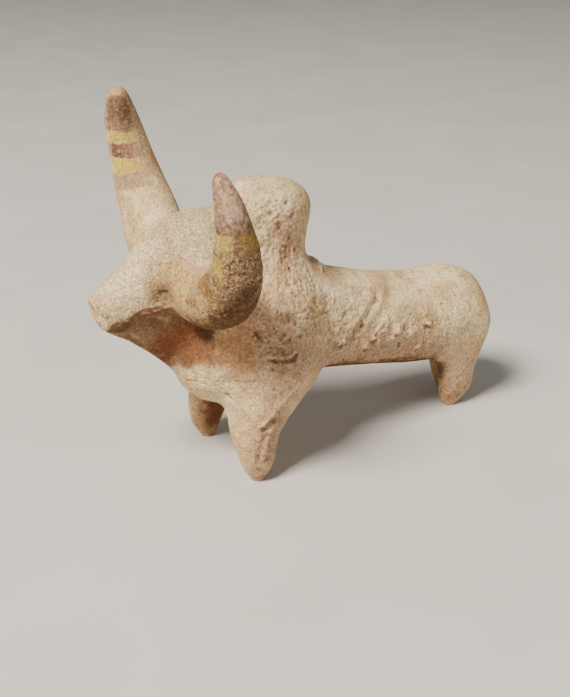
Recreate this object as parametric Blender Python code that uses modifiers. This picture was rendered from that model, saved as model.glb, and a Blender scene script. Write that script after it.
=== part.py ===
# Hand-modelled terracotta bull with a tall hump, a disc muzzle and two upswept horns.
# The bull faces -Y, its left side is +X, and it stands on four flat-worn feet at Z = 0.

import math

import bpy
import numpy as np
from mathutils import Matrix, Vector, noise

MM = 0.001

# The stance, in metres. The hind feet stand close together, the right one set back.
STANCE_LENGTH = 60.0 * MM
FRONT_STANCE = 24.4 * MM
HIND_STANCE = 9.2 * MM
HIND_STAGGER = 6.4 * MM
FOOT_DIAMETER = 5.9 * MM
FOOT_WEAR = 1.3 * MM
HEEL_REACH = 2.4 * MM

# The body.
TRUNK_WIDTH = 22.4 * MM
TRUNK_DEPTH = 22.6 * MM
RUMP_OVERHANG = 11.7 * MM
SHOULDER_WIDTH = 31.0 * MM
SHOULDER_DEPTH = 38.0 * MM
FRONT_LEG_ROOT = 20.0 * MM
HIND_LEG_ROOT = 15.5 * MM
HUMP_TOP_HEIGHT = 65.8 * MM
HUMP_LENGTH = 21.6 * MM
HUMP_WIDTH = 17.0 * MM

# The head, as it is before it is turned.
NECK_HEIGHT = 42.0 * MM
POLL_HEIGHT = 60.6 * MM
SKULL_DIAMETER = 21.0 * MM
MUZZLE_HEIGHT = 40.3 * MM
MUZZLE_REACH = 29.8 * MM
MUZZLE_DIAMETER = 8.8 * MM
HORN_ROOT_DIAMETER = 14.5 * MM
LEFT_HORN_TIP = 3.2 * MM
RIGHT_HORN_TIP = 5.4 * MM
HORN_SPREAD = 26.8 * MM
HORN_RISE = 36.4 * MM
HEAD_TURN_DEG = -2.5
HEAD_TILT_DEG = 7.8

# The marks on the surface: the eyes, the finger marks and the slow swells of the clay.
EYE_WIDTH = 3.0 * MM
EYE_DEPTH = 0.9 * MM
MARK_WIDTH = 1.8 * MM
MARK_DEPTH = 0.5 * MM
SWELL_LENGTH = 9.0 * MM
SWELL_HEIGHT = 0.6 * MM

# How finely each roll of clay is drawn.
RING_POINTS = 40
STEPS_PER_STATION = 8
CAP_STEPS = 8
RUN_STEP = 0.02

# How the clay is worked: the grid that fuses the rolls, how often each pass goes over the clay
# and how far it moves it, as a share of the way to level, and the facets that are left.
CLAY_GRID = 0.75 * MM
BODY_SMEAR_PASSES = 70
HEAD_SMEAR_PASSES = 6
SMEAR_PULL = 0.6
SMOOTH_PASSES = 3
SMOOTH_PULL = 0.5
EVEN_PASSES = 2
EVEN_PULL = 0.3
MODEL_FACES = 8400


def spot(along, up, aside=0.0):
    """A point of the body: 0 to 1 along from the front feet to the hind feet, up as a share of the
    hump's height, and aside as a share of half the shoulder width."""
    return np.array(
        [
            aside * SHOULDER_WIDTH / 2,
            (along - 0.5) * STANCE_LENGTH,
            up * HUMP_TOP_HEIGHT,
        ]
    )


def clear_scene():
    for thing in list(bpy.data.objects):
        bpy.data.objects.remove(thing)


def collection(name, shown=True):
    made = bpy.data.collections.new(name)
    made.hide_render = not shown
    bpy.context.scene.collection.children.link(made)
    return made


def smooth_between(values, t):
    """A Catmull-Rom curve through a list of numbers or vectors, at t counted in stations."""
    last = len(values) - 1
    i = min(int(t), last - 1)
    u = t - i
    a, b, c, d = (np.asarray(values[max(0, min(last, k))], float) for k in (i - 1, i, i + 1, i + 2))
    square = 2 * a - 5 * b + 4 * c - d
    cube = 3 * b - a - 3 * c + d
    return 0.5 * (2 * b + (c - a) * u + square * u**2 + cube * u**3)


def clay_roll(name, stations, across, round_start=1.0, round_end=1.0):
    """A roll of clay through stations of (centre, half width, half depth), with rounded ends.

    across is the direction of the half width, and the rounding is a share of the end's own half depth."""
    centres = [s[0] for s in stations]
    halves = [s[1:] for s in stations]
    across = np.array(across, float)
    rings = []
    last = len(stations) - 1
    for step in range(last * STEPS_PER_STATION + 1):
        t = step / STEPS_PER_STATION
        ahead, behind = min(t + RUN_STEP, last), max(t - RUN_STEP, 0)
        run = smooth_between(centres, ahead) - smooth_between(centres, behind)
        run /= np.linalg.norm(run)
        side = across - run * across.dot(run)
        side /= np.linalg.norm(side)
        width, depth = smooth_between(halves, t)
        rings.append((smooth_between(centres, t), side, np.cross(side, run), width, depth, run))
    rings = round_off(rings[::-1], -1, round_start)[::-1]
    rings = round_off(rings, 1, round_end)
    return ring_mesh(name, rings)


def round_off(rings, sense, rounding):
    """The rings with a half-ellipsoid cap after the last one."""
    centre, side, up, width, depth, run = rings[-1]
    reach = rounding * depth
    capped = list(rings)
    for step in range(1, CAP_STEPS):
        angle = step / CAP_STEPS * math.pi / 2
        shrink = math.cos(angle)
        place = centre + sense * run * reach * math.sin(angle)
        capped.append((place, side, up, width * shrink, depth * shrink, run))
    capped.append((centre + sense * run * reach, side, up, 0.0, 0.0, run))
    return capped


def ring_mesh(name, rings):
    """A closed skin over the rings, the first and last of which are single points."""
    points = [Vector(rings[0][0])]
    for centre, side, up, width, depth, _ in rings[1:-1]:
        for k in range(RING_POINTS):
            angle = 2 * math.pi * k / RING_POINTS
            across, along = width * math.cos(angle), depth * math.sin(angle)
            points.append(Vector(centre + side * across + up * along))
    points.append(Vector(rings[-1][0]))
    faces = []
    for k in range(RING_POINTS):
        after = (k + 1) % RING_POINTS
        faces.append((0, 1 + k, 1 + after))
        for ring in range(len(rings) - 3):
            low, high = 1 + ring * RING_POINTS, 1 + (ring + 1) * RING_POINTS
            faces.append((low + k, high + k, high + after, low + after))
        base = 1 + (len(rings) - 3) * RING_POINTS
        faces.append((base + after, base + k, len(points) - 1))
    mesh = bpy.data.meshes.new(name)
    mesh.from_pydata(points, [], faces)
    mesh.validate()
    return mesh


def trunk():
    """The barrel of the body, from the rump to the shoulders."""
    w, d = TRUNK_WIDTH / 2, TRUNK_DEPTH / 2
    rump = np.array([0, STANCE_LENGTH / 2 + RUMP_OVERHANG - 0.80 * d, 0.375 * HUMP_TOP_HEIGHT])
    return clay_roll(
        "trunk",
        [
            (rump, 0.97 * w, 0.96 * d),
            (spot(0.98, 0.375), 1.02 * w, 1.04 * d),
            (spot(0.85, 0.375), 0.97 * w, 1.03 * d),
            (spot(0.66, 0.404), 0.98 * w, 1.02 * d),
            (spot(0.45, 0.444), 1.03 * w, 1.06 * d),
            (spot(0.30, 0.474), 1.12 * w, 1.18 * d),
        ],
        across=(1, 0, 0),
        round_start=0.80,
        round_end=0.5,
    )


def shoulders():
    """The deep chest over the front legs."""
    w, d = SHOULDER_WIDTH / 2, SHOULDER_DEPTH / 2
    return clay_roll(
        "shoulders",
        [
            (spot(0.24, 0.465), 0.86 * w, 0.80 * d),
            (spot(0.13, 0.505), 1.00 * w, 0.96 * d),
            (spot(-0.01, 0.530), 0.92 * w, 1.00 * d),
            (spot(-0.10, 0.555), 0.74 * w, 0.92 * d),
        ],
        across=(1, 0, 0),
        round_start=0.35,
        round_end=0.2,
    )


def neck():
    """The tall neck and its dewlap, a wedge that thins from the chest to under the chin."""
    w, d = SHOULDER_WIDTH / 2, NECK_HEIGHT / 2
    return clay_roll(
        "neck",
        [
            (spot(0.04, 0.570), 0.70 * w, 1.10 * d),
            (spot(-0.10, 0.590), 0.56 * w, 1.06 * d),
            (spot(-0.20, 0.590), 0.34 * w, 0.82 * d),
            (spot(-0.30, 0.585), 0.19 * w, 0.49 * d),
            (spot(-0.39, 0.575), 0.13 * w, 0.22 * d),
            (spot(-0.435, 0.570), 0.12 * w, 0.11 * d),
        ],
        across=(1, 0, 0),
        round_start=0.3,
        round_end=0.8,
    )


def hump():
    """The knob over the shoulders, which leans back a little over its own neck."""
    w, half = HUMP_WIDTH / 2, HUMP_LENGTH / 2
    return clay_roll(
        "hump",
        [
            (spot(0.16, 0.50), 1.45 * w, 1.10 * half),
            (spot(0.140, 0.68), 1.12 * w, 0.88 * half),
            (spot(0.150, 0.78), 1.00 * w, 0.90 * half),
            (spot(0.163, 0.896), 0.97 * w, 1.00 * half),
        ],
        across=(1, 0, 0),
        round_start=0.4,
        round_end=0.62,
    )


def leg(name, foot, root, root_half, foot_half, shank, heel):
    """A short cone of clay from its root in the body down to the foot, which is worn flat later.

    Each half is a pair, crosswise and lengthwise, and so is the shank, the share of the root's size
    that is left half way down. The heel is how far the ankle sits behind the foot."""
    foot, root = np.array(foot, float), np.array(root, float)
    root_half, foot_half, shank = np.array(root_half), np.array(foot_half), np.array(shank)
    sole_round = 0.72
    sole = foot + (0, 0, sole_round * foot_half[1] - FOOT_WEAR)
    ankle = foot + (0, heel, 0.075 * HUMP_TOP_HEIGHT)
    middle = 0.42 * root + 0.58 * ankle
    middle[1] -= 0.32 * (root - ankle)[1]
    return clay_roll(
        name,
        [
            (root, *root_half),
            (middle, *(shank * root_half + (1 - shank) * foot_half)),
            (ankle, *(0.15 * root_half + 0.85 * foot_half + (0, 0.6 * heel))),
            (sole, *foot_half),
        ],
        across=(1, 0, 0),
        round_end=sole_round,
    )


def legs():
    front_y, hind_y = -STANCE_LENGTH / 2, STANCE_LENGTH / 2
    foot = FOOT_DIAMETER / 2
    front_root, hind_root = FRONT_LEG_ROOT / 2, HIND_LEG_ROOT / 2
    made = []
    for side, word in ((1, "left"), (-1, "right")):
        slim = 0.0 if side > 0 else 0.10
        x = side * FRONT_STANCE / 2
        root = spot(0.11, 0.38)
        root[0] = 0.66 * x
        made.append(
            leg(
                f"front_{word}_leg",
                (x, front_y, 0),
                root,
                (1.00 * front_root, 1.14 * front_root),
                (foot, foot),
                (0.52 - slim, 0.38 - slim),
                0.0,
            )
        )
        x = side * HIND_STANCE / 2
        back, heel = (0.0, HEEL_REACH) if side > 0 else (HIND_STAGGER, 0.0)
        root = spot(1.055, 0.33)
        root[0] = x
        made.append(
            leg(
                f"hind_{word}_leg",
                (x, hind_y + back, 0),
                root,
                (0.85 * hind_root, hind_root),
                (0.94 * foot, foot),
                (0.52, 0.52),
                heel,
            )
        )
    return made


def head():
    """The cone of the head, with a flat disc of a muzzle that flares a little at its rim."""
    skull = SKULL_DIAMETER / 2
    muzzle = MUZZLE_DIAMETER / 2
    tip = np.array([0, -STANCE_LENGTH / 2 - MUZZLE_REACH, MUZZLE_HEIGHT])
    back = spot(-0.10, 0)
    back[2] = POLL_HEIGHT - skull
    front = spot(-0.18, 0)
    front[2] = POLL_HEIGHT - 1.06 * skull
    run = (tip - front) / np.linalg.norm(tip - front)
    return clay_roll(
        "head",
        [
            (back, 0.92 * skull, 0.98 * skull),
            (front, 0.92 * skull, 0.95 * skull),
            (front * 0.45 + tip * 0.55, 0.40 * skull + 0.52 * muzzle, 0.42 * skull + 0.52 * muzzle),
            (tip - run * 0.45 * muzzle, 0.96 * muzzle, 0.96 * muzzle),
            (tip, muzzle, muzzle),
        ],
        across=(1, 0, 0),
        round_start=0.6,
        round_end=0.12,
    )


def horn(side):
    """A thick horn that leaves the skull sideways and sweeps up to a blunt tip.

    Each station is the way out, forward and up, as shares of the horn's own spread and rise."""
    root = HORN_ROOT_DIAMETER / 2
    tip = (LEFT_HORN_TIP if side > 0 else RIGHT_HORN_TIP) / 2
    base = spot(-0.16, 0)
    base[2] = POLL_HEIGHT - HORN_ROOT_DIAMETER
    path = (
        (0.24, 0.0, 0.02, 1.00),
        (0.53, 0.0, 0.05, 0.97),
        (0.75, 0.0, 0.16, 0.86),
        (0.91, -0.02, 0.32, 0.69),
        (1.00, -0.06, 0.52, 0.47),
        (1.01, -0.11, 0.73, 0.30),
        (0.95, -0.15, 0.88, 0.00),
    )
    stations = []
    for out, forward, up, thick in path:
        half = tip + thick * (root - tip)
        place = base + (side * out * HORN_SPREAD, forward * HORN_RISE, up * HORN_RISE)
        stations.append((place, half, half))
    name = "left_horn" if side > 0 else "right_horn"
    return clay_roll(name, stations, across=(0, 1, 0))


def head_turn():
    """How the finished bull holds its head: turned and tilted about the neck."""
    pivot = Vector(spot(-0.03, 0.70))
    turn = Matrix.Rotation(math.radians(HEAD_TURN_DEG), 4, "Z")
    tilt = Matrix.Rotation(math.radians(HEAD_TILT_DEG), 4, "Y")
    return Matrix.Translation(pivot) @ turn @ tilt @ Matrix.Translation(-pivot)


def turned(meshes):
    for mesh in meshes:
        mesh.transform(head_turn())
    return meshes


def joined(name, meshes, place):
    """One object that holds all the meshes, still as separate shells."""
    points, faces = [], []
    for mesh in meshes:
        start = len(points)
        points += [v.co.copy() for v in mesh.vertices]
        faces += [[start + i for i in p.vertices] for p in mesh.polygons]
    mesh = bpy.data.meshes.new(name)
    mesh.from_pydata(points, [], faces)
    made = bpy.data.objects.new(name, mesh)
    place.objects.link(made)
    return made


def realised(thing):
    """Replaces the object's mesh by the one that its modifiers make, and drops them."""
    bpy.context.view_layer.update()
    graph = bpy.context.evaluated_depsgraph_get()
    mesh = bpy.data.meshes.new_from_object(thing.evaluated_get(graph))
    thing.modifiers.clear()
    thing.data = mesh
    return thing


def fuse(thing):
    """Presses the separate rolls into one lump of clay."""
    grid = thing.modifiers.new("fuse", "REMESH")
    grid.mode = "VOXEL"
    grid.voxel_size = CLAY_GRID
    return realised(thing)


def arrays(mesh):
    points = np.empty(len(mesh.vertices) * 3)
    mesh.vertices.foreach_get("co", points)
    edges = np.empty(len(mesh.edges) * 2, np.int64)
    mesh.edges.foreach_get("vertices", edges)
    return points.reshape(-1, 3), edges.reshape(-1, 2)


def pull(points, edges):
    """From each point, the way to the middle of its neighbours."""
    total = np.zeros_like(points)
    count = np.zeros(len(points))
    for a, b in ((0, 1), (1, 0)):
        np.add.at(total, edges[:, a], points[edges[:, b]])
        np.add.at(count, edges[:, a], 1)
    return total / count[:, None] - points


def normals(mesh, points):
    mesh.vertices.foreach_set("co", points.ravel())
    mesh.update()
    found = np.empty(len(points) * 3)
    mesh.vertex_normals.foreach_get("vector", found)
    return found.reshape(-1, 3)


def smear_joints(thing, passes):
    """Fills the creases between rolls, as a thumb does, and leaves the crests alone."""
    mesh = thing.data
    points, edges = arrays(mesh)
    for _ in range(passes):
        way = pull(points, edges)
        hollow = (way * normals(mesh, points)).sum(1)
        points = points + SMEAR_PULL * way * (hollow > 0)[:, None]
    for _ in range(SMOOTH_PASSES):
        points = points + SMOOTH_PULL * pull(points, edges)
    mesh.vertices.foreach_set("co", points.ravel())
    mesh.update()
    return thing


def way_to_line(points, line):
    """How far each point is from a line through the given spots."""
    nearest = np.full(len(points), np.inf)
    for start, end in zip(line[:-1], line[1:]):
        run = end - start
        share = np.clip(((points - start) @ run) / run.dot(run), 0, 1)
        nearest = np.minimum(nearest, np.linalg.norm(points - start - share[:, None] * run, axis=1))
    return nearest


def press(thing, line, reach, depth):
    """Presses a finger along the line; a negative depth leaves a ridge instead of a dent."""
    mesh = thing.data
    points, _ = arrays(mesh)
    outward = normals(mesh, points)
    fade = np.exp(-((way_to_line(points, np.array(line, float)) / reach) ** 2))
    points = points - outward * (depth * fade)[:, None]
    mesh.vertices.foreach_set("co", points.ravel())
    mesh.update()


def eyes(bull):
    """A thumb-nail dimple on each side of the head."""
    for side in (1, -1):
        place = Vector(spot(-0.306, 0.698))
        place.x = side * 0.727 * SKULL_DIAMETER / 2
        corner = place + Vector((0, 0.5 * EYE_WIDTH, 0))
        press(bull, [head_turn() @ place, head_turn() @ corner], 0.5 * EYE_WIDTH, EYE_DEPTH)


def finger_marks(bull):
    """The larger ridges and dents that the maker's fingers and wear left, mostly on the left side."""
    shin = [spot(0.14, 0.345, 1.08), spot(0.08, 0.30, 1.10), spot(0.03, 0.235, 1.10)]
    press(bull, shin, MARK_WIDTH, -0.8 * MARK_DEPTH)
    calf = [s + (0, 1.3 * MARK_WIDTH, 0) for s in shin]
    press(bull, calf, MARK_WIDTH, 1.2 * MARK_DEPTH)
    flank = [spot(0.70, 0.58, 0.15), spot(0.64, 0.53, 0.54), spot(0.57, 0.49, 0.66), spot(0.53, 0.445, 0.71)]
    press(bull, flank, MARK_WIDTH, MARK_DEPTH)
    press(bull, [s - (0, 2.2 * MARK_WIDTH, 0) for s in flank], 1.3 * MARK_WIDTH, -0.6 * MARK_DEPTH)
    press(bull, [spot(0.10, 0.50, 1.0), spot(0.09, 0.42, 1.08)], 2.0 * MARK_WIDTH, -0.8 * MARK_DEPTH)
    press(bull, [spot(0.385, 0.66, -0.35), spot(0.385, 0.67, 0.1)], MARK_WIDTH, -2.2 * MARK_DEPTH)
    press(bull, [spot(0.30, 0.45, -0.9), spot(0.22, 0.36, -1.0)], 1.5 * MARK_WIDTH, MARK_DEPTH)
    press(bull, [spot(0.75, 0.50, -0.5), spot(0.85, 0.44, -0.7)], 2.0 * MARK_WIDTH, 0.8 * MARK_DEPTH)


def uneven(thing):
    """The slow swells and hollows of clay that was shaped by hand."""
    mesh = thing.data
    points, _ = arrays(mesh)
    outward = normals(mesh, points)
    swell = np.array([noise.noise(Vector(p) / SWELL_LENGTH) for p in points])
    points = points + outward * (SWELL_HEIGHT * swell)[:, None]
    mesh.vertices.foreach_set("co", points.ravel())
    mesh.update()


def thin_out(thing, most):
    """Brings the facets down to a count that a solid can carry."""
    thing.data.calc_loop_triangles()
    cut = thing.modifiers.new("thin_out", "DECIMATE")
    cut.ratio = most / len(thing.data.loop_triangles)
    cut.use_collapse_triangulate = True
    return realised(thing)


def even_out(thing):
    """Rubs the facets even, so that none is left as a sliver."""
    points, edges = arrays(thing.data)
    for _ in range(EVEN_PASSES):
        points = points + EVEN_PULL * pull(points, edges)
    thing.data.vertices.foreach_set("co", points.ravel())
    thing.data.update()


def centre(thing):
    """Puts the middle of the figurine's box over the origin."""
    points, _ = arrays(thing.data)
    middle = (points.min(0) + points.max(0)) / 2
    points = points - (middle[0], middle[1], 0)
    thing.data.vertices.foreach_set("co", points.ravel())
    thing.data.update()


def stand_flat(thing, cutters):
    """Wears the feet flat on the ground plane."""
    side = 4 * STANCE_LENGTH
    bpy.ops.mesh.primitive_cube_add(size=side, location=(0, 0, -side / 2))
    ground = bpy.context.active_object
    ground.name = "ground_cutter"
    for holder in list(ground.users_collection):
        holder.objects.unlink(ground)
    cutters.objects.link(ground)
    ground.hide_render = True
    ground.display_type = "WIRE"
    wear = thing.modifiers.new("wear_feet_flat", "BOOLEAN")
    wear.operation = "DIFFERENCE"
    wear.solver = "EXACT"
    wear.object = ground


def terracotta():
    made = bpy.data.materials.new("terracotta")
    made.use_nodes = True
    shader = made.node_tree.nodes["Principled BSDF"]
    shader.inputs["Base Color"].default_value = (0.61, 0.485, 0.33, 1)
    shader.inputs["Roughness"].default_value = 0.9
    shader.inputs["Metallic"].default_value = 0.0
    return made


def build():
    clear_scene()
    figurine = collection("zebu_bull_figurine")
    cutters = collection("cutters", shown=False)
    body = joined("body", [trunk(), shoulders(), neck(), hump(), *legs()], figurine)
    smear_joints(fuse(body), BODY_SMEAR_PASSES)
    bull = joined("zebu_bull", [body.data, *turned([head(), horn(1), horn(-1)])], figurine)
    bpy.data.objects.remove(body)
    smear_joints(fuse(bull), HEAD_SMEAR_PASSES)
    eyes(bull)
    finger_marks(bull)
    uneven(bull)
    even_out(thin_out(bull, MODEL_FACES))
    centre(bull)
    stand_flat(bull, cutters)
    bull.data.materials.append(terracotta())
    bull.data.shade_smooth()


build()
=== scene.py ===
# The looks of a hand-modelled terracotta bull: worn cream clay with a crust from the ground, pits,
# cracks and chips, and horns with what is left of their purple-brown and yellow bands.
# The bull faces -Y and its left side is +X. Places on it are shares of the solid's own box.

import math

import bmesh
import bpy
import numpy as np
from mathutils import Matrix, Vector, noise


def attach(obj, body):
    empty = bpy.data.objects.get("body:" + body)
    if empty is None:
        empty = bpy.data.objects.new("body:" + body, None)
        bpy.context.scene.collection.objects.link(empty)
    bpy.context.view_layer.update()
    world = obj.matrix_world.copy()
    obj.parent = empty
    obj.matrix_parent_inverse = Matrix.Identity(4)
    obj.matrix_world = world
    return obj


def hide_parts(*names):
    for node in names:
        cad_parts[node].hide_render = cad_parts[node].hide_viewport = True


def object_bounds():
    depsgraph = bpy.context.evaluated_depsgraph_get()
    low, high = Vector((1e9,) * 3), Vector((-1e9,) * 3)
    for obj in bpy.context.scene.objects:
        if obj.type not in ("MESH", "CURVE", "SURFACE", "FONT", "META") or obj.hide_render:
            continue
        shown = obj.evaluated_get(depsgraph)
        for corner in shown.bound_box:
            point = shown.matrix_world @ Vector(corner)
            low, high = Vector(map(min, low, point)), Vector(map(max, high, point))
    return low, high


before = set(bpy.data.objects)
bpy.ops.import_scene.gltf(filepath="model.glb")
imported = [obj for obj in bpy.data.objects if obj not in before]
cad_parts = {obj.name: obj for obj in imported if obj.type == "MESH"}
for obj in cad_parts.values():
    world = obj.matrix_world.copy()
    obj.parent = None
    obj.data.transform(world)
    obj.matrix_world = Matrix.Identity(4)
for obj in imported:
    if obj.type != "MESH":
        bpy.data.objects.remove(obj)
CAD_LOW, CAD_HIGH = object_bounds()

MM = 0.001

# The skin of the clay: the fine grid that it is worked on, how often it is rubbed smooth, the
# facets that are kept in the end, and how far a mark's edge wanders.
SKIN_GRID = 0.25 * MM
SAME_SPOT = 0.001 * MM
ON_GROUND = 0.01 * MM
ROUNDINGS = 2
RUBS = 5
RUB = 0.5
KEPT_FACES = 196000
SOLE_DEPTH = 0.1 * MM
SOLE_CREASE = 0.45
RAGGED_SEED = 5
RAGGED_REACH = (0.4 * MM, 0.3 * MM)
RAGGED_SIZE = (1.6 * MM, 0.7 * MM)
SPOT_GAP = 0.7 * MM
STEP_EDGE = 0.12 * MM
HOLLOW_REACH = 7
HOLLOW_DEPTH = 0.3 * MM
TIP_REACH = 2.5 * MM

# The feet: where each stands, the height over which it is drawn in, and by what share.
FOOT_REACH = 5.0 * MM
FEET = (
    ((0.33, -0.39, 0.0), 4.5 * MM, 0.22),
    ((-0.45, -0.38, 0.0), 4.0 * MM, 0.2),
    ((0.09, 0.8, 0.0), 4.5 * MM, 0.4),
    ((-0.21, 0.9, 0.0), 4.5 * MM, 0.3),
)

# The muzzle's disc: its middle, the way it faces, and its size.
MUZZLE_DISC = (-0.115, -0.985, 0.5)
MUZZLE_FACING = (-0.072, -0.986, -0.152)
MUZZLE_RADIUS = 4.1 * MM
MUZZLE_DISH = 0.3 * MM
RIM_HEIGHT = 0.25 * MM
RIM_WIDTH = 0.5 * MM

# Marks on the skin, each as a line of spots: shares of half the width to the left, of half the
# length to the back, and of the height up.
LEFT_EYE = ((0.155, -0.754, 0.553), (0.17, -0.736, 0.555))
RIGHT_EYE = ((-0.312, -0.728, 0.572), (-0.328, -0.714, 0.574))
MOUTH = ((-0.24, -0.98, 0.5), (-0.12, -0.992, 0.499), (-0.03, -0.985, 0.501), (0.0, -0.955, 0.494))
LIP_CREASE = (
    (-0.077, -0.973, 0.536),
    (-0.045, -0.978, 0.524),
    (-0.024, -0.981, 0.512),
    (-0.021, -0.982, 0.503),
)
JAW = (
    (-0.014, -0.942, 0.463),
    (0.0, -0.901, 0.47),
    (0.033, -0.852, 0.487),
    (0.06, -0.84, 0.502),
    (0.074, -0.783, 0.496),
    (0.11, -0.748, 0.507),
    (0.138, -0.716, 0.51),
)
SHOULDER_PITS = (
    (0.399, -0.334, 0.462),
    (0.409, -0.29, 0.469),
    (0.433, -0.226, 0.439),
    (0.417, -0.355, 0.404),
    (0.429, -0.346, 0.393),
    (0.443, -0.302, 0.411),
    (0.462, -0.261, 0.403),
    (0.444, -0.279, 0.422),
    (0.423, -0.319, 0.43),
    (0.523, -0.273, 0.309),
    (0.513, -0.299, 0.3),
    (0.483, -0.346, 0.28),
)
SHOULDER_HOLE = ((0.383, -0.395, 0.432), (0.389, -0.393, 0.416))
SHOULDER_CRACK = (
    (0.447, -0.355, 0.358),
    (0.478, -0.325, 0.358),
    (0.495, -0.3, 0.354),
    (0.504, -0.272, 0.356),
    (0.497, -0.243, 0.365),
)
ROUND_SCAR = ((0.486, -0.328, 0.337),)
LEG_RIDGE = (
    (0.517, -0.252, 0.288),
    (0.512, -0.264, 0.275),
    (0.501, -0.319, 0.247),
    (0.486, -0.358, 0.217),
    (0.472, -0.397, 0.185),
)
LEG_DENT = ((0.475, -0.393, 0.174), (0.486, -0.368, 0.186), (0.49, -0.344, 0.192))
LEG_FURROW = ((0.473, -0.397, 0.168), (0.473, -0.398, 0.142), (0.463, -0.41, 0.107), (0.451, -0.42, 0.076))
LEG_FLAKE = ((0.319, -0.481, 0.154), (0.339, -0.478, 0.145), (0.38, -0.468, 0.129))
LEG_NICK = ((0.255, -0.504, 0.258), (0.273, -0.492, 0.247))
LEG_CRACK_FRONT = ((0.03, -0.618, 0.278), (0.114, -0.601, 0.286), (0.182, -0.575, 0.283))
LEG_CRACK_BACK = ((0.323, -0.478, 0.301), (0.368, -0.445, 0.298), (0.422, -0.401, 0.305))
LEG_CRUST_EDGE = (
    (0.071, -0.619, 0.308),
    (0.211, -0.58, 0.356),
    (0.289, -0.526, 0.34),
    (0.341, -0.469, 0.331),
    (0.414, -0.403, 0.324),
)
BACK_CHIP = ((-0.16, 0.05, 0.535), (-0.02, 0.044, 0.532), (0.03, 0.05, 0.525), (0.07, 0.035, 0.52))
BACK_STEP = ((-0.2, 0.47, 0.446), (-0.15, 0.465, 0.448), (-0.09, 0.458, 0.449), (-0.02, 0.46, 0.447))
FLANK_PIT = ((0.215, 0.284, 0.424), (0.236, 0.27, 0.414))
FLANK_GROOVE = ((0.183, 0.291, 0.437), (0.24, 0.255, 0.415), (0.279, 0.215, 0.394), (0.308, 0.135, 0.36))
FLANK_LIP = ((0.275, 0.184, 0.409), (0.304, 0.13, 0.384), (0.312, 0.091, 0.364))
FLANK_LUMPS = (
    (0.309, 0.098, 0.351),
    (0.31, 0.061, 0.338),
    (0.287, 0.195, 0.305),
    (0.291, 0.225, 0.323),
    (0.283, 0.268, 0.301),
    (0.281, 0.298, 0.359),
    (0.286, 0.345, 0.306),
    (0.291, 0.369, 0.327),
    (0.28, 0.454, 0.306),
    (0.259, 0.509, 0.255),
    (0.278, 0.545, 0.327),
    (0.256, 0.53, 0.354),
)
FLANK_PITS = (
    (0.302, 0.049, 0.321),
    (0.289, 0.227, 0.31),
    (0.27, 0.204, 0.286),
    (0.286, 0.291, 0.349),
    (0.237, 0.51, 0.236),
    (0.281, 0.539, 0.316),
    (0.303, 0.128, 0.331),
    (0.261, 0.397, 0.274),
)
HUMP_PITS = (
    (0.125, -0.249, 0.763),
    (0.162, -0.286, 0.728),
    (0.185, -0.256, 0.715),
    (0.197, -0.204, 0.719),
    (0.187, -0.181, 0.731),
    (0.201, -0.219, 0.676),
    (0.165, -0.095, 0.676),
    (0.139, -0.306, 0.736),
    (0.2, -0.156, 0.701),
    (0.201, -0.171, 0.637),
    (0.205, -0.187, 0.62),
    (0.184, -0.135, 0.607),
    (0.238, -0.214, 0.586),
    (0.262, -0.188, 0.567),
    (0.307, -0.146, 0.532),
    (0.218, -0.192, 0.597),
)
HUMP_SCAR = ((0.205, -0.202, 0.672), (0.201, -0.171, 0.623), (0.237, -0.199, 0.584))
HIND_CHAMFER = ((0.187, 0.852, 0.055), (0.187, 0.804, 0.035), (0.152, 0.755, 0.014))

# What the ground did to the clay: the sizes of what repeats all over the skin.
WEATHER_SEED = 11
WEATHER = {
    "Crust Size": 2.4 * MM,
    "Crust Thickness": 0.16 * MM,
    "Lump Size": 3.0 * MM,
    "Lump Height": 0.85 * MM,
    "Clump Size": 3.5 * MM,
    "Crumb Size": 0.85 * MM,
    "Crumb Height": 0.5 * MM,
    "Grain Size": 0.65 * MM,
    "Grain Height": 0.42 * MM,
    "Pit Spacing": 2.1 * MM,
    "Pit Width": 0.9 * MM,
    "Pit Depth": 0.3 * MM,
    "Pinhole Spacing": 3.2 * MM,
    "Pinhole Width": 0.55 * MM,
    "Pinhole Depth": 0.35 * MM,
}


def srgb(red, green, blue):
    """A colour as the shaders want it, from the 0 to 255 of a screen."""
    shares = (value / 255 for value in (red, green, blue))
    return tuple(((s + 0.055) / 1.055) ** 2.4 for s in shares) + (1.0,)


CREAM = srgb(228, 203, 160)
# Pale cream for a painted highlight.
HIGHLIGHT_CREAM = srgb(250, 232, 192)
BUFF = srgb(204, 172, 126)
DUSTY_BUFF = srgb(176, 145, 108)
GREY_DUST = srgb(190, 174, 148)
PINK_CLAY = srgb(186, 147, 119)
LOST_CRUST = srgb(176, 136, 100)
# The next three are the clay's own colours, and also painted shade under the jaw, the throat, the belly and
# the legs.
TAN_CLAY_AND_SHADE = srgb(174, 128, 88)
ORANGE_CLAY_AND_SHADE = srgb(108, 66, 40)
BROWN_CLAY_AND_SHADE = srgb(92, 49, 27)
CHEEK_TAN = srgb(172, 130, 80)
PURPLE_BROWN = srgb(104, 72, 54)
MAUVE = srgb(146, 112, 88)
PALE_PURPLE = srgb(166, 140, 112)
YELLOW = srgb(204, 178, 88)
BAND_YELLOW = srgb(194, 164, 70)
# A darker yellow, for painted shade on the left horn.
SHADED_YELLOW = srgb(168, 134, 60)
OCHRE = srgb(146, 106, 46)
EYE_BROWN = srgb(122, 82, 44)
TIP_ORANGE = srgb(156, 104, 62)
TIP_TAN = srgb(188, 150, 112)
CRUST_THREAD = srgb(204, 168, 126)
CRUST_DARK = srgb(72, 40, 22)
SCRAPED_PAINT = srgb(198, 170, 144)
# Dark staining, also laid as painted shade under the left horn.
STAIN_AND_SHADE = srgb(78, 46, 25)
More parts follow.
